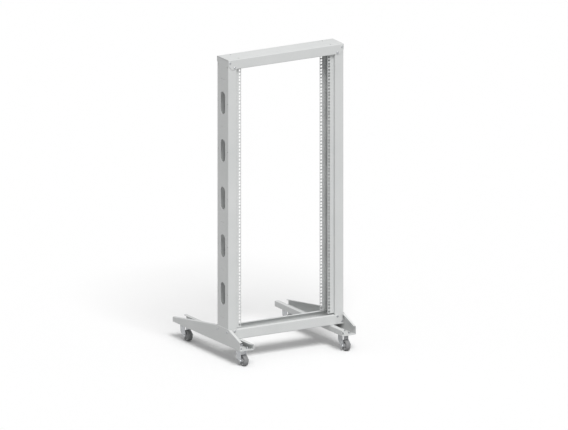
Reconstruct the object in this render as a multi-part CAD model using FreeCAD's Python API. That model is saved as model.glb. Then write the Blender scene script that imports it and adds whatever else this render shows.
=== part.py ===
import FreeCAD, Part
import math
import os

V = FreeCAD.Vector
os.makedirs("parts", exist_ok=True)

# Relay rack, millimetres. +Z up, front is -Y, width along X.
# Origin: middle of the outline, on the floor.

# sheet metal
SHEET = 2.0                 # thickness of all folded pieces
BEND_IN = 1.5               # inside bend radius
CUT_PAST = 6.0              # how far a cut runs past the metal

# main sizes
UPRIGHT_DEPTH = 100.0
FOOT_LENGTH = 606.0
FOOT_AHEAD = 158.0          # foot front end to upright centre
CASTER_HEIGHT = 76.0        # floor to foot underside

# rack units
UNIT = 44.45
UNITS = 27
HOLE_FIRST = 6.35           # lowest hole of a unit above its lower edge
HOLE_PITCH = 15.875
HOLES_A_UNIT = 3
HOLE_SIDE = 9.5
HOLE_IN = 7.125             # hole column from the rail edge
RAIL_OPENING = 450.85       # between the rail edges
RAIL_WIDE = 30.125          # rail seen beside the flange
RAIL_END = 3.0              # rail metal past the first and last unit

# upright
FLANGE = 44.45
JOGGLE = 13.75              # flange face to rail face
NOTCH_TOP = 45.0
NOTCH_BOTTOM = 48.0
NOTCH_RADIUS = 11.0
FLANGE_CORNER = 5.0
SLOT_WIDE = 41.0
SLOT_TALL = 105.0
SLOT_STEP = 5 * UNIT
SLOTS = (-2, -1, 0, 1, 2)
PAIR_SPAN = 19.0
PAIRS = (-2.5, -1.5, -0.5, 1.5, 2.5)
PAIR_HOLE = 4.8
EDGE_HOLE_OFF = 42.3        # web edge holes from the web centre line
END_HOLE_IN = 33.0          # end pair of web holes from the upright end
SCREW_HOLE = 6.6
END_HOLE_X1 = 9.0           # screw holes of a flange end, from its outer corner
END_HOLE_Z1 = 10.0
END_HOLE_X2 = 33.0
END_HOLE_Z2 = 35.0

# crossmember
END_GAP = 1.6               # upright end to crossmember web, room for the bend
CROSS_FLANGE = 46.0
CROSS_CUT_X = 17.0
CROSS_CUT_Z = 21.0
CROSS_CUT_RADIUS = 8.0
CROSS_LIP = 15.0
CROSS_LIP_START = 45.5
CROSS_HOLE_IN = 61.0
CROSS_HOLE_SPAN = 74.0
BOLT_HOLE = 9.0

# foot
FOOT_WEB = 73.0
FOOT_FLANGE = 27.0
FOOT_LIP = 20.0
FOOT_LIP_CORNER = 16.0
FOOT_FLAT = 107.0
FOOT_TALL = 78.0
FOOT_FRONT_TALL = 41.0
FOOT_REAR_TALL = 24.0
SLOPE_LIP = 12.0
SLOPE_LIP_RELIEF = 5.0

# casters
SWIVEL_IN = 36.5            # swivel axis from the foot outer face
SWIVEL_END = 51.5           # swivel axis from each foot end
TRAIL = 24.0
WHEEL_RADIUS = 25.5
WHEEL_WIDTH = 22.0
PLATE_X = 50.0
PLATE_Y = 66.0
PLATE_THICK = 2.5
PLATE_CORNER = 6.0
CASTER_BOLT_X = 35.0
CASTER_BOLT_Y = 48.7
FORK_SHEET = 2.0
FORK_HALF = 15.5
FORK_BEND = 2.0
FORK_TOP_HALF = 20.0
FORK_SKIRT = 16.0           # straight part of the legs below the crown top
FORK_BOSS = 8.0
CROWN_DROP = 3.5            # mounting plate to crown
CUP_IN = 17.0               # dust cup round the race
CUP_WALL = 1.5
CUP_DROP = 3.0
KING_RADIUS = 8.0
KING_HEAD = 3.5             # king pin head past its stem
KING_HEAD_THICK = 2.5
PIN_PLAY = 0.1              # radial play of king pin and axle
RACE_GAP = 0.3              # gap at the race and under the crown
RACE_IN = 11.5
RACE_OUT = 14.5
AXLE_RADIUS = 4.0
AXLE_HEAD = 5.3
AXLE_NUT = 6.5
AXLE_HEX = 7.5              # hexagon, centre to corner
HUB_RADIUS = 8.0
HUB_PAST = 1.6              # hub past the tyre on each side
RIM_IN = 6.5                # tyre height
RIM_WALL = 2.5
RIM_STEP = 1.0              # tyre past the rim on each side
DISC_HALF = 5.0
TYRE_SHOULDER = 3.0

# levels
foot_z = CASTER_HEIGHT
lip_z = foot_z + FOOT_FLANGE
up_z0 = lip_z + SHEET + END_GAP
rail_len = UNITS * UNIT + 2 * RAIL_END
up_len = NOTCH_BOTTOM + rail_len + NOTCH_TOP
up_z1 = up_z0 + up_len
top_z = up_z1 + END_GAP + SHEET
front_y = -FOOT_LENGTH / 2
rear_y = FOOT_LENGTH / 2
post_y = front_y + FOOT_AHEAD
half_w = RAIL_OPENING / 2 + RAIL_WIDE + FLANGE
half_d = UPRIGHT_DEPTH / 2
end_holes = ((END_HOLE_X1, END_HOLE_Z1), (END_HOLE_X2, END_HOLE_Z2))


def unit(a):
    return a.multiply(1.0 / a.Length)


def folded(points, thick=SHEET, inner=BEND_IN):
    """Face of a bent sheet whose middle line runs through the points."""
    pts = [V(*p) for p in points]
    nrm = None
    for i in range(1, len(pts) - 1):
        c = (pts[i] - pts[i - 1]).cross(pts[i + 1] - pts[i])
        if c.Length > 1e-6:
            nrm = unit(c)
            break
    mid = inner + thick / 2
    sides = {}
    for sgn in (1, -1):
        segs = []
        side0 = unit(nrm.cross(pts[1] - pts[0]))
        cur = pts[0] + side0 * (sgn * thick / 2)
        first = V(cur)
        for i in range(1, len(pts) - 1):
            a = unit(pts[i] - pts[i - 1])
            b = unit(pts[i + 1] - pts[i])
            turn = a.getAngle(b)
            way = 1 if nrm.dot(a.cross(b)) > 0 else -1
            cut = mid * math.tan(turn / 2)
            na = unit(nrm.cross(a))
            nb = unit(nrm.cross(b))
            t0 = pts[i] - a * cut
            t1 = pts[i] + b * cut
            centre = t0 + na * (way * mid)
            rad = mid - way * sgn * thick / 2
            p0 = t0 + na * (sgn * thick / 2)
            p1 = t1 + nb * (sgn * thick / 2)
            pm = centre + unit((p0 - centre) + (p1 - centre)) * rad
            segs.append(Part.makeLine(cur, p0))
            segs.append(Part.Arc(p0, pm, p1).toShape())
            cur = p1
        end = pts[-1] + unit(nrm.cross(unit(pts[-1] - pts[-2]))) * (sgn * thick / 2)
        segs.append(Part.makeLine(cur, end))
        sides[sgn] = (first, segs, end)
    edges = list(sides[1][1])
    edges.append(Part.makeLine(sides[1][2], sides[-1][2]))
    edges += list(sides[-1][1])
    edges.append(Part.makeLine(sides[-1][0], sides[1][0]))
    wire = Part.Wire(Part.__sortEdges__(edges))
    return Part.Face(wire)


def box(x0, x1, y0, y1, z0, z1):
    return Part.makeBox(x1 - x0, y1 - y0, z1 - z0, V(x0, y0, z0))


def prism(points, along):
    pts = [V(*p) for p in points]
    return Part.Face(Part.makePolygon(pts + [pts[0]])).extrude(along)


def hole(radius, at, along):
    return Part.makeCylinder(radius, along.Length, at, along)


def round_edges(shape, radius, test):
    picked = [e for e in shape.Edges if test(e)]
    return shape.makeFillet(radius, picked)


def mirrored(shape):
    return shape.mirror(V(0, 0, 0), V(1, 0, 0))


def save(shape, name):
    shape = shape.removeSplitter()
    solids = shape.Solids
    if len(solids) == 1:
        shape = solids[0]
    if not shape.isValid():
        print("not valid:", name)
    shape.exportStep("parts/" + name + ".step")
    print(name, len(solids), round(shape.Volume / 1000.0, 2))
    return shape


def upright():
    """Left upright."""
    h = SHEET / 2
    xw = -half_w + h
    xr = -half_w + FLANGE - h
    xe = -RAIL_OPENING / 2
    path = []
    for s in (-1, 1):
        yf = post_y + s * (half_d - h)
        yr = post_y + s * (half_d - JOGGLE - h)
        part = [(xe, yr, up_z0), (xr, yr, up_z0), (xr, yf, up_z0), (xw, yf, up_z0)]
        path += part if s < 0 else part[::-1]
    body = folded(path).extrude(V(0, 0, up_len))
    cuts = []
    # rails and return walls end before the crossmembers
    flange_edge = -half_w + FLANGE - SHEET - BEND_IN
    deep = 2 * JOGGLE
    for s in (-1, 1):
        y0 = post_y + s * half_d
        for z0, z1, inner in ((up_z1 - NOTCH_TOP, up_z1 + CUT_PAST, 0), (up_z0 - CUT_PAST, up_z0 + NOTCH_BOTTOM, 1)):
            b = box(flange_edge, xe + CUT_PAST, min(y0, y0 - s * deep), max(y0, y0 - s * deep), z0, z1)
            zc = z1 if inner else z0
            b = round_edges(b, NOTCH_RADIUS, lambda e, y=y0, z=zc: all(
                abs(v.Point.y - y) < 1e-6 and abs(v.Point.z - z) < 1e-6 for v in e.Vertexes))
            cuts.append(b)
            # corner of the flange end
            ze = up_z0 if inner else up_z1
            dz = 1 if inner else -1
            c = box(flange_edge - FLANGE_CORNER, flange_edge, y0 - CUT_PAST, y0 + CUT_PAST,
                    min(ze, ze + dz * FLANGE_CORNER), max(ze, ze + dz * FLANGE_CORNER))
            c = c.cut(hole(FLANGE_CORNER, V(flange_edge - FLANGE_CORNER, y0 - CUT_PAST, ze + dz * FLANGE_CORNER), V(0, 2 * CUT_PAST, 0)))
            cuts.append(c)
    # rack holes, front and rear rail together
    xh = xe - HOLE_IN
    r = HOLE_SIDE / 2
    for u in range(UNITS):
        for n in range(HOLES_A_UNIT):
            z = up_z0 + NOTCH_BOTTOM + RAIL_END + u * UNIT + HOLE_FIRST + n * HOLE_PITCH
            cuts.append(box(xh - r, xh + r, post_y - half_d + JOGGLE / 2, post_y + half_d - JOGGLE / 2, z - r, z + r))
    # web
    mid_z = (up_z0 + up_z1) / 2
    x0 = -half_w - CUT_PAST
    across = V(SHEET + 2 * CUT_PAST, 0, 0)
    for k in SLOTS:
        z = mid_z + k * SLOT_STEP
        rr = SLOT_WIDE / 2
        s = box(x0, x0 + across.x, post_y - rr, post_y + rr, z - SLOT_TALL / 2 + rr, z + SLOT_TALL / 2 - rr)
        for e in (-1, 1):
            s = s.fuse(hole(rr, V(x0, post_y, z + e * (SLOT_TALL / 2 - rr)), across))
        cuts.append(s.removeSplitter())
    for z in [mid_z + k * SLOT_STEP for k in SLOTS] + [up_z0 + END_HOLE_IN, up_z1 - END_HOLE_IN]:
        for e in (-1, 1):
            cuts.append(hole(SCREW_HOLE / 2, V(x0, post_y + e * EDGE_HOLE_OFF, z), across))
    for k in PAIRS:
        for e in (-1, 1):
            cuts.append(hole(PAIR_HOLE / 2, V(x0, post_y + e * PAIR_SPAN / 2, mid_z + k * SLOT_STEP), across))
    # flange ends
    for dx, dz in end_holes:
        for z in (up_z0 + dz, up_z1 - dz):
            cuts.append(hole(SCREW_HOLE / 2, V(-half_w + dx, post_y - half_d - CUT_PAST, z), V(0, UPRIGHT_DEPTH + 2 * CUT_PAST, 0)))
    return body.cut(cuts)


def crossmember():
    """Top crossmember."""
    h = SHEET / 2
    yo = half_d + h
    zw = top_z - h
    zl = top_z - CROSS_FLANGE + h
    xl = half_w - CROSS_LIP_START
    path = [(-xl, -yo + CROSS_LIP - h, zl), (-xl, -yo, zl), (-xl, -yo, zw),
            (-xl, yo, zw), (-xl, yo, zl), (-xl, yo - CROSS_LIP + h, zl)]
    path = [(x, post_y + y, z) for x, y, z in path]
    body = folded(path).extrude(V(2 * xl, 0, 0))
    ends = [(-half_w, -yo, zl - h), (-half_w, -yo, zw), (-half_w, yo, zw), (-half_w, yo, zl - h)]
    ends = [(x, post_y + y, z) for x, y, z in ends]
    end = folded(ends).extrude(V(half_w - xl, 0, 0))
    # cut corner of the flange ends, with rounded turns
    x0, z0 = -half_w, top_z - CROSS_FLANGE
    x1, z1 = x0 - CUT_PAST, z0 - CUT_PAST
    ya = post_y - half_d - SHEET - CUT_PAST
    across = V(0, 2 * (half_d + SHEET + CUT_PAST), 0)
    c = prism([(x1, ya, z0 + CROSS_CUT_Z), (x0, ya, z0 + CROSS_CUT_Z), (x0 + CROSS_CUT_X, ya, z0),
               (x0 + CROSS_CUT_X, ya, z1), (x1, ya, z1)], across)
    end = end.cut(c)
    turns = []
    for e in end.Edges:
        vs = [v.Point for v in e.Vertexes]
        if len(vs) == 2 and abs(vs[0].x - vs[1].x) < 1e-6 and abs(vs[0].z - vs[1].z) < 1e-6:
            a = abs(vs[0].x - x0) < 1e-6 and abs(vs[0].z - z0 - CROSS_CUT_Z) < 1e-6
            b = abs(vs[0].x - x0 - CROSS_CUT_X) < 1e-6 and abs(vs[0].z - z0) < 1e-6
            if a or b:
                turns.append(e)
    end = end.makeFillet(CROSS_CUT_RADIUS, turns)
    body = body.fuse([end, mirrored(end)])
    cuts = []
    for e in (-1, 1):
        for dx, dz in end_holes:
            cuts.append(hole(SCREW_HOLE / 2, V(e * (half_w - dx), ya, up_z1 - dz), across))
        for f in (-1, 1):
            cuts.append(hole(BOLT_HOLE / 2, V(e * (half_w - CROSS_HOLE_IN), post_y + f * CROSS_HOLE_SPAN / 2, top_z - CUT_PAST), V(0, 0, 2 * CUT_PAST)))
    return body.cut(cuts)


def foot():
    """Left foot."""
    h = SHEET / 2
    xo = -half_w - SHEET
    xi = xo + FOOT_WEB
    z0 = foot_z
    path = [(xo + h, z0 + FOOT_TALL), (xo + h, z0 + h), (xi - h, z0 + h),
            (xi - h, lip_z - h), (xi - FOOT_LIP, lip_z - h)]
    body = folded([(x, front_y, z) for x, z in path]).extrude(V(0, FOOT_LENGTH, 0))
    # rounded lip ends
    lx = xi - FOOT_LIP
    for s, y in ((1, front_y), (-1, rear_y)):
        r = FOOT_LIP_CORNER
        c = box(lx, lx + r, min(y, y + s * r), max(y, y + s * r), lip_z - CUT_PAST, lip_z + CUT_PAST)
        c = c.cut(hole(r, V(lx + r, y + s * r, lip_z - CUT_PAST), V(0, 0, 2 * CUT_PAST)))
        body = body.cut(c)
    # side outline of the outer plate
    ya = post_y - FOOT_FLAT / 2
    yb = post_y + FOOT_FLAT / 2
    drop = SHEET + BEND_IN
    lips = []
    trims = []
    for (y0, t0), (y1, t1) in (((ya, FOOT_TALL), (front_y, FOOT_FRONT_TALL)), ((yb, FOOT_TALL), (rear_y, FOOT_REAR_TALL))):
        d = V(0, y1 - y0, t1 - t0)
        length = d.Length
        d = unit(d)
        n = V(0, -d.z, d.y)
        if n.z < 0:
            n = n * -1
        p0 = V(xo, y0, z0 + t0)
        s = 1 if y1 > y0 else -1
        # everything above the slope goes
        wide = V(SHEET + 2 * CUT_PAST, 0, 0)
        back = V(-CUT_PAST, 0, 0)
        past = length + SLOPE_LIP
        high = z0 + 2 * FOOT_TALL
        q0, q1 = p0, p0 + d * past
        trims.append(prism([tuple(q0), tuple(q1), (xo, q1.y, high), (xo, y0, high)], wide).translated(back))
        # strip under the lip goes too, the lip brings it back with its bend
        a = p0 + d * SLOPE_LIP_RELIEF
        b = p0 + d * past
        trims.append(prism([tuple(a), tuple(b), tuple(b - n * drop), tuple(a - n * drop)], wide).translated(back))
        m = a + V(h, 0, 0)
        prof = [m - n * (drop + SHEET), m - n * h, m - n * h + V(SLOPE_LIP - h, 0, 0)]
        lip = folded([tuple(q) for q in prof]).extrude(d * past)
        lips.append(lip)
    body = body.cut(trims)
    lips = [l.common(box(xo - CUT_PAST, xi, front_y, rear_y, z0, z0 + 2 * FOOT_TALL)) for l in lips]
    body = body.fuse(lips)
    cuts = []
    for f in (-1, 1):
        cuts.append(hole(SCREW_HOLE / 2, V(xo - CUT_PAST, post_y + f * EDGE_HOLE_OFF, up_z0 + END_HOLE_IN), V(SHEET + 2 * CUT_PAST, 0, 0)))
        cuts.append(hole(BOLT_HOLE / 2, V(-half_w + CROSS_HOLE_IN, post_y + f * CROSS_HOLE_SPAN / 2, lip_z - CUT_PAST), V(0, 0, 2 * CUT_PAST)))
    for y in (front_y + SWIVEL_END, rear_y - SWIVEL_END):
        for f in (-1, 1):
            for g in (-1, 1):
                cuts.append(hole(SCREW_HOLE / 2, V(xo + SWIVEL_IN + f * CASTER_BOLT_X / 2, y + g * CASTER_BOLT_Y / 2, z0 - CUT_PAST), V(0, 0, 2 * CUT_PAST)))
    return body.cut(cuts)


# caster pieces are made with the swivel axis on x = y = 0
axle_z = WHEEL_RADIUS
plate_under = CASTER_HEIGHT - PLATE_THICK
crown_top = plate_under - CROWN_DROP
crown_under = crown_top - FORK_SHEET
rim_radius = WHEEL_RADIUS - RIM_IN


def turned(points, at=V(0, 0, 0), along=V(0, 0, 1)):
    """Revolves (radius, height) pairs about an axis through at."""
    side = V(0, 1, 0) if abs(along.y) < 0.5 else V(1, 0, 0)
    pts = [at + side * r + along * h for r, h in points]
    return Part.Face(Part.makePolygon(pts + pts[:1])).revolve(at, along, 360)


def caster_plate():
    p = box(-PLATE_X / 2, PLATE_X / 2, -PLATE_Y / 2, PLATE_Y / 2, plate_under, CASTER_HEIGHT)
    p = round_edges(p, PLATE_CORNER, lambda e: all(abs(abs(v.Point.x) - PLATE_X / 2) < 1e-6 for v in e.Vertexes)
                    and abs(e.Vertexes[0].Point.z - e.Vertexes[1].Point.z) > PLATE_THICK / 2)
    for f in (-1, 1):
        for g in (-1, 1):
            p = p.cut(hole(SCREW_HOLE / 2, V(f * CASTER_BOLT_X / 2, g * CASTER_BOLT_Y / 2, plate_under - CUT_PAST), V(0, 0, 2 * CUT_PAST)))
    # dust cup round the race
    mid = plate_under + PLATE_THICK / 2
    cup = turned([(CUP_IN, mid), (CUP_IN + 2 * CUP_WALL, mid), (CUP_IN + CUP_WALL, plate_under - CUP_WALL),
                  (CUP_IN + CUP_WALL, plate_under - CUP_DROP), (CUP_IN, plate_under - CUP_DROP)])
    # king pin with its head below the crown
    head = crown_under - RACE_GAP
    low = head - KING_HEAD_THICK
    king = turned([(0, mid), (KING_RADIUS, mid), (KING_RADIUS, head), (KING_RADIUS + KING_HEAD, head),
                   (KING_RADIUS + KING_HEAD, head - KING_HEAD_THICK / 2), (KING_RADIUS, low), (0, low)])
    return p.fuse([cup, king])


def fork():
    # crown and legs in one bent sheet, then the leg outline
    h = FORK_SHEET / 2
    xo = FORK_HALF
    low = WHEEL_RADIUS - FORK_BOSS
    path = [(-xo + h, 0, low), (-xo + h, 0, crown_top - h), (xo - h, 0, crown_top - h), (xo - h, 0, low)]
    ya, yb = -TRAIL - FORK_BOSS, FORK_TOP_HALF
    body = folded(path, FORK_SHEET, FORK_BEND).extrude(V(0, yb - ya, 0)).translated(V(0, ya, 0))
    # side outline: straight skirt, then tangents to the round axle boss
    t = FORK_TOP_HALF
    skirt = crown_top - FORK_SKIRT
    ay, az = -TRAIL, WHEEL_RADIUS

    def tangent(py, pz, side):
        dy, dz = py - ay, pz - az
        ang = math.atan2(dz, dy) + side * math.acos(FORK_BOSS / math.hypot(dy, dz))
        return V(0, ay + FORK_BOSS * math.cos(ang), az + FORK_BOSS * math.sin(ang))

    front, rear = tangent(-t, skirt, 1), tangent(t, skirt, -1)
    corners = [front, V(0, -t, skirt), V(0, -t, crown_top), V(0, t, crown_top), V(0, t, skirt), rear]
    outline = [Part.makeLine(a, b) for a, b in zip(corners, corners[1:])]
    outline.append(Part.Arc(rear, V(0, ay, low), front).toShape())
    side = Part.Face(Part.Wire(outline)).extrude(V(2 * xo, 0, 0)).translated(V(-xo, 0, 0))
    body = body.common(side)
    # race ring on the crown
    race = plate_under - RACE_GAP
    body = body.fuse(turned([(RACE_IN, crown_top - h), (RACE_OUT, crown_top - h), (RACE_OUT, race), (RACE_IN, race)]))
    body = body.cut(hole(KING_RADIUS + PIN_PLAY, V(0, 0, crown_under - CUT_PAST), V(0, 0, 2 * CUT_PAST)))
    return body.cut(hole(AXLE_RADIUS, V(-xo - CUT_PAST, ay, az), V(2 * (xo + CUT_PAST), 0, 0)))


def axle_bolt():
    at = V(0, -TRAIL, WHEEL_RADIUS)
    x = FORK_HALF
    b = hole(AXLE_RADIUS, at - V(x + AXLE_HEAD / 2, 0, 0), V(2 * x + AXLE_HEAD / 2 + AXLE_NUT + SHEET, 0, 0))
    for x0, t in ((-x - AXLE_HEAD, AXLE_HEAD), (x, AXLE_NUT)):
        pts = []
        for i in range(6):
            a = math.radians(60 * i + 30)
            pts.append((x0, at.y + AXLE_HEX * math.cos(a), at.z + AXLE_HEX * math.sin(a)))
        b = b.fuse(prism(pts, V(t, 0, 0)))
    return b


def wheel_core():
    w = WHEEL_WIDTH / 2
    bore = AXLE_RADIUS + PIN_PLAY
    hub = w + HUB_PAST
    rim_in = rim_radius - RIM_WALL
    rim_w = w - RIM_STEP
    half = [(bore, hub), (HUB_RADIUS, hub), (HUB_RADIUS, DISC_HALF), (rim_in, DISC_HALF), (rim_in, rim_w), (rim_radius, rim_w)]
    return turned(half + [(r, -x) for r, x in reversed(half)], V(0, -TRAIL, WHEEL_RADIUS), V(1, 0, 0))


def tyre():
    w = WHEEL_WIDTH / 2
    c = TYRE_SHOULDER
    half = [(rim_radius, w - RIM_STEP), (rim_radius + RIM_STEP, w), (WHEEL_RADIUS - c, w),
            (WHEEL_RADIUS - 0.3 * c, w - 0.3 * c), (WHEEL_RADIUS, w - c)]
    return turned(half + [(r, -x) for r, x in reversed(half)], V(0, -TRAIL, WHEEL_RADIUS), V(1, 0, 0))


left = upright()
save(left, "left_upright")
save(mirrored(left), "right_upright")

top = crossmember()
save(top, "top_crossmember")
mid = (up_z0 + up_z1) / 2
save(top.mirror(V(0, 0, mid), V(0, 0, 1)), "bottom_crossmember")

lf = foot()
save(lf, "left_foot")
save(mirrored(lf), "right_foot")

swivel_x = half_w + SHEET - SWIVEL_IN
places = {
    "front_left": V(-swivel_x, front_y + SWIVEL_END, 0),
    "front_right": V(swivel_x, front_y + SWIVEL_END, 0),
    "rear_left": V(-swivel_x, rear_y - SWIVEL_END, 0),
    "rear_right": V(swivel_x, rear_y - SWIVEL_END, 0),
}
pieces = {"caster_plate": caster_plate(), "fork": fork(), "axle_bolt": axle_bolt(),
          "wheel": wheel_core(), "tyre": tyre()}
for place, at in places.items():
    for name, shape in pieces.items():
        save(shape.translated(at), place + "_" + name)
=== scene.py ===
import math

import bmesh
import bpy
from mathutils import Matrix, Vector


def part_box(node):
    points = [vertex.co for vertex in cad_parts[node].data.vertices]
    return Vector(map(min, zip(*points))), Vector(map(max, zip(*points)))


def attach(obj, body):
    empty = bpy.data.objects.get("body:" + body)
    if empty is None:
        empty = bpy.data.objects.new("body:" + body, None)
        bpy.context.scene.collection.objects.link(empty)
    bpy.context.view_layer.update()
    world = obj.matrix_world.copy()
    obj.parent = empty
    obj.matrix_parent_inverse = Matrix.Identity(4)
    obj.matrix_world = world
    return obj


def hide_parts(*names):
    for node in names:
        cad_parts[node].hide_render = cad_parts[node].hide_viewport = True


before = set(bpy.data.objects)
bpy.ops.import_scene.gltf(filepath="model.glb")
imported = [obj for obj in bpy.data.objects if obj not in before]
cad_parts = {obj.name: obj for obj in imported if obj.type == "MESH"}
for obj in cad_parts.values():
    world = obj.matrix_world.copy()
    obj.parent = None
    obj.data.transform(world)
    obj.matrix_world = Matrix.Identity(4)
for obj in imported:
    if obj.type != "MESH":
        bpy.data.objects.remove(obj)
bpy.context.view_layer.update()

MM = 0.001
FULL_TURN = 2 * math.pi

# where the fasteners sit, in millimetres, by the holes of the solids
POST_Y = -145.0
UPRIGHT_BOTTOM = 106.6
UPRIGHT_TOP = 1405.75
FLANGE_FACE = 52.0                              # crossmember flange face from the post centre
END_SCREWS = ((291.0, 10.0), (267.0, 35.0))     # off the middle, and in from the upright's end
WEB_SCREW_OFF = 42.3
WEB_SCREW_UP = 33.0
FOOT_FACE = 302.0
LIP_BOLT_X = 239.0
LIP_BOLT_OFF = 37.0
LIP_LEVEL = 103.0
SHEET = 2.0

# casters, in millimetres
CASTERS = ("front_left", "front_right", "rear_left", "rear_right")
CASTER_BOLT_X = 17.5
CASTER_BOLT_Y = 24.35
PLATE_THICK = 2.5
TRAIL = 24.0
LEG_HALF = 20.0
LEG_FACE = 15.5             # outer face of a fork leg from the middle of the wheel
SKIRT_END = 54.0            # end of the straight part of the fork's rear edge, above the floor
BOSS = 8.0
LEG_CUTS = 11
BOSS_SHARE = 0.15           # part of the bowed edge that goes round the boss
BOSS_END = math.radians(-85.0)
TYRE_RADIUS = 25.5
TYRE_HALF = 11.0
AXLE_HEIGHT = TYRE_RADIUS   # the tyres stand on the floor
SHOULDER = 3.6
RIM = 19.0
RIBS = 6
WRENCH_SIZE = 13.0          # across the flats of the M8 heads and nuts
SMALL_WRENCH_SIZE = 10.0

# how near a point lies to an edge that it belongs to, in millimetres
AT_CORNER = 0.05
ON_EDGE = 0.02

# view and light
AZIMUTH = math.radians(-30.0)
ELEVATION = math.radians(15.0)
VIEW_WIDTH = 2.560
VIEW_MIDDLE = (0.0887, 0.5830)      # right and up from the origin, in the picture
VIEW_BACK = 8.0
VIEW_END = 60.0
FLOOR_HALF = 16.0
FLOOR_DROP = 0.0005
LIGHT_ON_RACK = 0.42
KEY_DIRECTION = (0.14, 0.58, -0.80)
KEY_STRENGTH = 2.35
KEY_ANGLE = math.radians(26.0)


# finishes

def new_material(name):
    mat = bpy.data.materials.new(name)
    mat.use_nodes = True
    tree = mat.node_tree
    shader = tree.nodes["Principled BSDF"]
    coords = tree.nodes.new("ShaderNodeTexCoord")
    return mat, tree, shader, coords


def noise(tree, coords, scale, detail=3.0, roughness=0.5):
    tex = tree.nodes.new("ShaderNodeTexNoise")
    tex.inputs["Scale"].default_value = scale
    tex.inputs["Detail"].default_value = detail
    tex.inputs["Roughness"].default_value = roughness
    tree.links.new(coords.outputs["Object"], tex.inputs["Vector"])
    return tex.outputs["Fac"]


def ramp(tree, source, low, high, start=0.3, end=0.7):
    node = tree.nodes.new("ShaderNodeMapRange")
    node.inputs["From Min"].default_value = start
    node.inputs["From Max"].default_value = end
    node.inputs["To Min"].default_value = low
    node.inputs["To Max"].default_value = high
    tree.links.new(source, node.inputs["Value"])
    return node.outputs["Result"]


def colour_mix(tree, factor, first, second):
    node = tree.nodes.new("ShaderNodeMix")
    node.data_type = "RGBA"
    node.inputs["A"].default_value = (*first, 1.0)
    node.inputs["B"].default_value = (*second, 1.0)
    tree.links.new(factor, node.inputs["Factor"])
    return node.outputs["Result"]


def mottled(tree, cloud, first, second):
    return colour_mix(tree, ramp(tree, cloud, 0.0, 1.0), first, second)


def bump(tree, height, strength, distance, below=None):
    node = tree.nodes.new("ShaderNodeBump")
    node.inputs["Strength"].default_value = strength
    node.inputs["Distance"].default_value = distance
    tree.links.new(height, node.inputs["Height"])
    if below:
        tree.links.new(below, node.inputs["Normal"])
    return node.outputs["Normal"]


def powder_coat():
    """Cloudy light grey with fine darker specks, over orange peel."""
    mat, tree, shader, coords = new_material("light_grey_powder_coat")
    cloud = noise(tree, coords, 5.0)
    specks = noise(tree, coords, 420.0, 2.0)
    peel = noise(tree, coords, 900.0, 2.0, 0.6)
    wave = noise(tree, coords, 60.0, 2.0)
    speckled = tree.nodes.new("ShaderNodeMix")
    speckled.data_type = "RGBA"
    speckled.blend_type = "MULTIPLY"
    speckled.inputs["B"].default_value = (0.955, 0.955, 0.96, 1.0)
    tree.links.new(ramp(tree, specks, 0.0, 1.0, 0.45, 0.7), speckled.inputs["Factor"])
    colour = mottled(tree, cloud, (0.645, 0.66, 0.655), (0.695, 0.705, 0.70))
    tree.links.new(colour, speckled.inputs["A"])
    tree.links.new(speckled.outputs["Result"], shader.inputs["Base Color"])
    tree.links.new(ramp(tree, peel, 0.38, 0.52), shader.inputs["Roughness"])
    waves = bump(tree, wave, 0.06, 0.0006)
    tree.links.new(bump(tree, peel, 0.28, 0.0002, waves), shader.inputs["Normal"])
    return mat


def grained(name, cloud, grain, dark, pale, roughness, relief, metallic=0.0):
    """A finish clouded between two colours, with a fine grain.

    cloud and grain are noise settings, relief is the grain's strength and depth in metres.
    """
    mat, tree, shader, coords = new_material(name)
    clouds = noise(tree, coords, *cloud)
    tree.links.new(mottled(tree, clouds, dark, pale), shader.inputs["Base Color"])
    tree.links.new(ramp(tree, clouds, *roughness), shader.inputs["Roughness"])
    tree.links.new(bump(tree, noise(tree, coords, *grain), *relief), shader.inputs["Normal"])
    shader.inputs["Metallic"].default_value = metallic
    return mat


PAINT = powder_coat()
ZINC = grained("zinc_plated_steel", (90.0, 4.0, 0.6), (700.0, 2.0),
               (0.38, 0.39, 0.405), (0.53, 0.54, 0.55), (0.28, 0.46), (0.12, 0.0001), 0.9)
CORE = grained("wheel_core_plastic", (40.0, 3.0), (800.0, 2.0),
               (0.50, 0.505, 0.51), (0.57, 0.575, 0.58), (0.42, 0.55), (0.2, 0.0001))
RUBBER = grained("grey_tyre_rubber", (70.0, 4.0, 0.6), (1100.0, 3.0),
                 (0.22, 0.222, 0.226), (0.28, 0.282, 0.286), (0.6, 0.78), (0.35, 0.00012))


# shapes

def lathe(bm, profile, segments, closed=False):
    """Turns (radius, height) pairs, in millimetres, about the Z axis."""
    verts = [bm.verts.new((r * MM, 0.0, h * MM)) for r, h in profile]
    edges = [bm.edges.new((a, b)) for a, b in zip(verts, verts[1:])]
    if closed:
        edges.append(bm.edges.new((verts[-1], verts[0])))
    bmesh.ops.spin(bm, geom=verts + edges, cent=(0, 0, 0), axis=(0, 0, 1), angle=FULL_TURN,
                   steps=segments, use_merge=True, use_duplicate=False)
    bmesh.ops.remove_doubles(bm, verts=bm.verts, dist=1e-7)


def hexagon(bm, across_flats, low, high, crown):
    """A hexagon head or nut from low to high with its corners turned off at the top."""
    before = set(bm.verts)
    radius = across_flats / math.sqrt(3.0)
    middle = (low + high) / 2
    bmesh.ops.create_cone(bm, cap_ends=True, cap_tris=False, segments=6,
                          radius1=radius * MM, radius2=radius * MM, depth=(high - low) * MM,
                          matrix=Matrix.Translation((0, 0, middle * MM)))
    new = [v for v in bm.verts if v not in before]
    top = [e for v in new if v.co.z > middle * MM for e in v.link_edges
           if all(w.co.z > middle * MM for w in e.verts)]
    bmesh.ops.bevel(bm, geom=list(dict.fromkeys(top)), offset=crown * MM, affect="EDGES",
                    segments=2, profile=0.5, material=-1)


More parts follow.
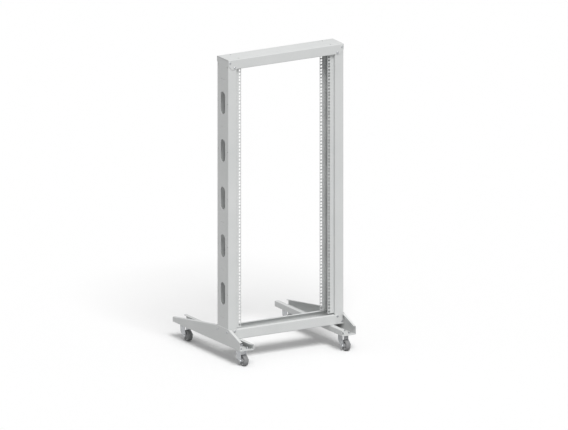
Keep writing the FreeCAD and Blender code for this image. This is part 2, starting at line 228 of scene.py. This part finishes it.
def screw_end(radius, high, low, pitch=1.0):
    """Profile of a threaded end that stands up from low and ends at high."""
    pts = [(0.0, high), (radius - 0.8, high)]
    z = high - 0.6
    while z - pitch > low:
        pts += [(radius - 0.35, z), (radius, z - pitch / 2)]
        z -= pitch
    return pts + [(radius - 0.35, low), (0.0, low)]


def mirrored(half_profile):
    """A whole profile from the half above the middle plane."""
    return half_profile + [(r, -h) for r, h in reversed(half_profile)]


def finish_mesh(name, bm, material, body, smooth_angle=35.0):
    bmesh.ops.recalc_face_normals(bm, faces=bm.faces)
    mesh = bpy.data.meshes.new(name)
    bm.to_mesh(mesh)
    bm.free()
    # a copy of a CAD node brings its old normals along
    if "custom_normal" in mesh.attributes:
        mesh.attributes.remove(mesh.attributes["custom_normal"])
    obj = bpy.data.objects.new(name, mesh)
    bpy.context.scene.collection.objects.link(obj)
    mesh.materials.append(material)
    mesh.shade_smooth()
    mesh.set_sharp_from_angle(angle=math.radians(smooth_angle))
    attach(obj, body)
    return obj


def add_part(target, part, matrix):
    """Moves part by the matrix, adds it to target and frees it."""
    bmesh.ops.transform(part, matrix=matrix, verts=part.verts)
    temp = bpy.data.meshes.new("temp")
    part.to_mesh(temp)
    part.free()
    target.from_mesh(temp)
    bpy.data.meshes.remove(temp)


def placed(target, make, spots):
    """Copies what make draws to each spot: (point in mm, direction its head faces)."""
    for point, facing in spots:
        part = bmesh.new()
        make(part)
        turn = Vector((0, 0, 1)).rotation_difference(Vector(facing)).to_matrix().to_4x4()
        add_part(target, part, Matrix.Translation(Vector(point) * MM) @ turn)


# fasteners, each with its seat at zero and its head towards +Z

def button_screw(bm):
    """Low round head with a socket."""
    lathe(bm, [(0.0, 0.9), (1.9, 0.9), (2.0, 2.5), (2.9, 2.75), (4.2, 2.3), (5.2, 1.3),
               (5.6, 0.5), (5.6, 0.0), (3.0, -0.02), (3.0, -3.6), (0.0, -3.6)], 24)


def hex_bolt_m8(bm):
    lathe(bm, [(0.0, 1.5), (7.6, 1.5), (8.0, 1.2), (8.0, 0.0), (4.4, 0.0), (4.4, -1.8),
               (0.0, -1.8)], 32)
    hexagon(bm, WRENCH_SIZE, 1.5, 6.8, 0.7)


def nut_m8(bm):
    """Washer, nut and screw end."""
    lathe(bm, [(4.0, 0.0), (8.0, 0.0), (8.0, 1.3), (7.6, 1.6), (4.0, 1.6)], 32, True)
    hexagon(bm, WRENCH_SIZE, 1.6, 8.0, 0.7)
    lathe(bm, screw_end(3.95, 11.5, 8.0), 24)


def caster_nut(bm):
    """Washer, nut and screw end."""
    lathe(bm, [(3.2, 0.0), (6.1, 0.0), (6.1, 1.0), (5.8, 1.3), (3.2, 1.3)], 28, True)
    hexagon(bm, SMALL_WRENCH_SIZE, 1.3, 5.9, 0.5)
    lathe(bm, screw_end(2.95, 8.6, 5.9), 20)


def caster_head(bm):
    lathe(bm, [(0.0, 2.2), (3.0, 2.2), (5.2, 1.7), (6.2, 0.6), (6.2, 0.0), (3.1, 0.0),
               (3.1, -2.3), (0.0, -2.3)], 28)


def build_fasteners():
    for name, level, sign in (("top", UPRIGHT_TOP, -1), ("bottom", UPRIGHT_BOTTOM, 1)):
        bm = bmesh.new()
        spots = []
        for side in (-1, 1):
            for front in (-1, 1):
                for x, z in END_SCREWS:
                    point = (side * x, POST_Y + front * FLANGE_FACE, level + sign * z)
                    spots.append((point, (0, front, 0)))
        placed(bm, button_screw, spots)
        finish_mesh(name + "_crossmember_screws", bm, ZINC, "frame")
    for name, side in (("left", -1), ("right", 1)):
        bm = bmesh.new()
        x, z = side * FOOT_FACE, UPRIGHT_BOTTOM + WEB_SCREW_UP
        placed(bm, button_screw, [((x, POST_Y + off * WEB_SCREW_OFF, z), (side, 0, 0))
                                  for off in (-1, 1)])
        finish_mesh(name + "_foot_plate_screws", bm, ZINC, "frame")
        bm = bmesh.new()
        for make, up in ((hex_bolt_m8, 1), (nut_m8, -1)):
            z = LIP_LEVEL + up * SHEET
            placed(bm, make, [((side * LIP_BOLT_X, POST_Y + off * LIP_BOLT_OFF, z), (0, 0, up))
                              for off in (-1, 1)])
        finish_mesh(name + "_lip_bolts", bm, ZINC, "frame")


# casters

def round_legged_fork(place, swivel):
    """The fork with the rear edge of both legs bowed out and down to the axle boss."""
    boss = Vector((swivel.y - TRAIL, AXLE_HEIGHT))
    skirt_end = Vector((swivel.y + LEG_HALF, SKIRT_END))
    reach = skirt_end - boss
    boss_start = math.atan2(reach.y, reach.x) - math.acos(BOSS / reach.length)

    def on_boss_at(angle):
        return boss + BOSS * Vector((math.cos(angle), math.sin(angle)))

    tangent = on_boss_at(boss_start)
    leg_end = on_boss_at(BOSS_END)
    drop = (skirt_end.x - leg_end.x) / math.tan(-BOSS_END)
    corner = Vector((skirt_end.x, leg_end.y + drop))
    along = (tangent - skirt_end).normalized()
    length = (tangent - skirt_end).length

    bm = bmesh.new()
    bm.from_mesh(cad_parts[place + "_fork"].data)
    bmesh.ops.remove_doubles(bm, verts=bm.verts, dist=1e-6)

    def flat(vert):
        return Vector((vert.co.y, vert.co.z)) / MM

    def touches(edge, point):
        return min((flat(v) - point).length for v in edge.verts) < AT_CORNER

    long_edges = [e for e in bm.edges if touches(e, skirt_end) and touches(e, tangent)]
    bmesh.ops.subdivide_edges(bm, edges=long_edges, cuts=LEG_CUTS)
    for vert in bm.verts:
        p = flat(vert)
        off = p - skirt_end
        run = off.dot(along)
        angle = math.atan2(p.y - boss.y, p.x - boss.x)
        if (abs(off.x * along.y - off.y * along.x) < ON_EDGE
                and AT_CORNER < run < length + AT_CORNER):
            t = (1 - BOSS_SHARE) * run / length
        elif abs((p - boss).length - BOSS) < ON_EDGE and BOSS_END <= angle < boss_start:
            t = 1 - BOSS_SHARE * (angle - BOSS_END) / (boss_start - BOSS_END)
        else:
            continue
        q = (1 - t) ** 2 * skirt_end + 2 * t * (1 - t) * corner + t * t * leg_end
        vert.co.y, vert.co.z = q.x * MM, q.y * MM
    fork = finish_mesh(place + "_round_fork", bm, ZINC, place + "_swivel")
    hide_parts(place + "_fork")


def plate_bolts(place, swivel, plate_top):
    bm = bmesh.new()
    for fx in (-1, 1):
        for fy in (-1, 1):
            x, y = swivel.x + fx * CASTER_BOLT_X, swivel.y + fy * CASTER_BOLT_Y
            placed(bm, caster_nut, [((x, y, plate_top + SHEET), (0, 0, 1))])
            placed(bm, caster_head, [((x, y, plate_top - PLATE_THICK), (0, 0, -1))])
    finish_mesh(place + "_plate_bolts", bm, ZINC, "frame")


def soft_tyre(place, turn):
    """Tyre with round shoulders and a fine parting line."""
    bm = bmesh.new()
    shoulder = [(TYRE_RADIUS - SHOULDER + SHOULDER * math.sin(a),
                 TYRE_HALF - SHOULDER + SHOULDER * math.cos(a))
                for a in (math.radians(d) for d in range(0, 91, 15))]
    side = [(RIM, TYRE_HALF - 1.0), (RIM + 0.7, TYRE_HALF - 0.2), (RIM + 1.4, TYRE_HALF)]
    parting = [(TYRE_RADIUS, 0.5), (TYRE_RADIUS - 0.25, 0.3)]
    lathe(bm, mirrored(side + shoulder + parting), 72, True)
    bmesh.ops.transform(bm, matrix=turn, verts=bm.verts)
    tyre = finish_mesh(place + "_soft_tyre", bm, RUBBER, place + "_wheel", 30.0)
    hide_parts(place + "_tyre")


def ribbed_core(place, turn):
    """Rim and hub, joined by a thin disc with ribs on both faces."""
    bm = bmesh.new()
    hub = [(4.1, 12.5), (7.4, 12.5), (7.9, 12.0), (8.3, 4.0)]
    disc = [(9.0, 2.6), (15.6, 2.2), (16.6, 3.0)]
    rim = [(16.9, 9.4), (17.4, 10.0), (RIM, 10.0)]
    lathe(bm, mirrored(hub + disc + rim), 60, True)
    for i in range(RIBS):
        for face in (-1, 1):
            spot = (Matrix.Rotation(i * FULL_TURN / RIBS, 4, "Z")
                    @ Matrix.Translation((12.2 * MM, 0, face * 4.6 * MM))
                    @ Matrix.Diagonal((9.4 * MM, 1.8 * MM, 5.6 * MM, 1.0)))
            rib = bmesh.ops.create_cube(bm, size=1.0, matrix=spot)
            edges = list(dict.fromkeys(e for v in rib["verts"] for e in v.link_edges))
            bmesh.ops.bevel(bm, geom=edges, offset=0.35 * MM, affect="EDGES", segments=2,
                            profile=0.5, material=-1)
    bmesh.ops.transform(bm, matrix=turn, verts=bm.verts)
    core = finish_mesh(place + "_ribbed_core", bm, CORE, place + "_wheel")
    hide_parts(place + "_wheel")


def axle(place, turn):
    """Bolt with its head and washer on one side, washer and lock nut on the other."""
    bm = bmesh.new()
    shank_end = [(0.0, LEG_FACE + 1.2), (8.0, LEG_FACE + 1.2), (8.3, LEG_FACE + 0.9),
                 (8.3, LEG_FACE), (4.0, LEG_FACE)]
    lathe(bm, mirrored(shank_end), 32)
    hexagon(bm, WRENCH_SIZE, LEG_FACE + 1.2, LEG_FACE + 6.2, 0.6)
    collar = [(3.9, 6.2), (5.9, 6.2), (5.6, 7.6), (4.6, 8.0), (3.9, 8.0)]
    lathe(bm, [(r, LEG_FACE + h) for r, h in collar], 32, True)
    lathe(bm, screw_end(3.9, LEG_FACE + 9.4, LEG_FACE + 6.0), 24)
    head = bmesh.new()
    hexagon(head, WRENCH_SIZE, LEG_FACE + 1.2, LEG_FACE + 6.4, 0.7)
    add_part(bm, head, Matrix.Rotation(math.pi, 4, "X"))
    bmesh.ops.transform(bm, matrix=turn, verts=bm.verts)
    bolt = finish_mesh(place + "_axle", bm, ZINC, place + "_swivel")
    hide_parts(place + "_axle_bolt")


def middle_and_top(node):
    """Middle of a node's box and the height of its top, in millimetres."""
    low, high = (Vector(p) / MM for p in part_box(node))
    return (low + high) / 2, high.z


def build_casters():
    for place in CASTERS:
        swivel, plate_top = middle_and_top(place + "_caster_plate")
        round_legged_fork(place, swivel)
        plate_bolts(place, swivel, plate_top)
        centre = middle_and_top(place + "_tyre")[0]
        turn = Matrix.Translation(centre * MM) @ Matrix.Rotation(math.pi / 2, 4, "Y")
        soft_tyre(place, turn)
        ribbed_core(place, turn)
        axle(place, turn)


def dress_nodes():
    finishes = {"upright": PAINT, "crossmember": PAINT, "foot": PAINT, "caster_plate": ZINC,
                "fork": ZINC, "axle_bolt": ZINC, "wheel": CORE, "tyre": RUBBER}
    for name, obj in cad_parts.items():
        for ending, material in finishes.items():
            if name.endswith(ending):
                for slot in obj.material_slots:
                    slot.material = material


# stage

def seen_directly(tree):
    """1 for what the camera sees, also in metal, and 0 for the light on the rack."""
    path = tree.nodes.new("ShaderNodeLightPath")
    result = path.outputs["Is Camera Ray"]
    for other in ("Is Glossy Ray", "Is Transmission Ray"):
        either = tree.nodes.new("ShaderNodeMath")
        either.operation = "MAXIMUM"
        tree.links.new(result, either.inputs[0])
        tree.links.new(path.outputs[other], either.inputs[1])
        result = either.outputs[0]
    return result


def build_floor():
    bm = bmesh.new()
    bmesh.ops.create_grid(bm, x_segments=8, y_segments=8, size=FLOOR_HALF)
    bmesh.ops.translate(bm, verts=bm.verts, vec=(0, 0, -FLOOR_DROP))
    mesh = bpy.data.meshes.new("floor")
    bm.to_mesh(mesh)
    bm.free()
    floor = bpy.data.objects.new("floor", mesh)
    bpy.context.scene.collection.objects.link(floor)
    mat, tree, shader, _ = new_material("pale_floor")
    colour = colour_mix(tree, seen_directly(tree), (0.5, 0.5, 0.5), (0.98, 0.98, 0.98))
    tree.links.new(colour, shader.inputs["Base Color"])
    shader.inputs["Roughness"].default_value = 0.9
    shader.inputs["Specular IOR Level"].default_value = 0.1
    mesh.materials.append(mat)


def build_light():
    world = bpy.data.worlds.new("studio")
    bpy.context.scene.world = world
    world.use_nodes = True
    tree = world.node_tree
    back = tree.nodes["Background"]
    back.inputs["Color"].default_value = (1.0, 1.0, 1.0, 1.0)
    level = tree.nodes.new("ShaderNodeMapRange")
    level.inputs["To Min"].default_value = LIGHT_ON_RACK
    level.inputs["To Max"].default_value = 1.0
    tree.links.new(seen_directly(tree), level.inputs["Value"])
    tree.links.new(level.outputs["Result"], back.inputs["Strength"])
    light = bpy.data.lights.new("key", "SUN")
    light.energy = KEY_STRENGTH
    light.angle = KEY_ANGLE
    lamp = bpy.data.objects.new("key", light)
    lamp.rotation_mode = "QUATERNION"
    towards = Vector(KEY_DIRECTION).normalized()
    lamp.rotation_quaternion = Vector((0, 0, -1)).rotation_difference(towards)
    bpy.context.scene.collection.objects.link(lamp)


def build_camera():
    right = Vector((math.cos(AZIMUTH), math.sin(AZIMUTH), 0.0))
    back = Vector((math.sin(AZIMUTH) * math.cos(ELEVATION),
                   -math.cos(AZIMUTH) * math.cos(ELEVATION), math.sin(ELEVATION)))
    up = back.cross(right)
    data = bpy.data.cameras.new("camera")
    data.type = "ORTHO"
    data.ortho_scale = VIEW_WIDTH
    data.clip_end = VIEW_END
    camera = bpy.data.objects.new("camera", data)
    at = right * VIEW_MIDDLE[0] + up * VIEW_MIDDLE[1] + back * VIEW_BACK
    camera.matrix_world = (Matrix.Translation(at)
                           @ Matrix((right, up, back)).transposed().to_4x4())
    bpy.context.scene.collection.objects.link(camera)
    bpy.context.scene.camera = camera
    bpy.context.scene.view_settings.view_transform = "Standard"


build_camera()
build_floor()
build_light()
dress_nodes()
build_fasteners()
build_casters()
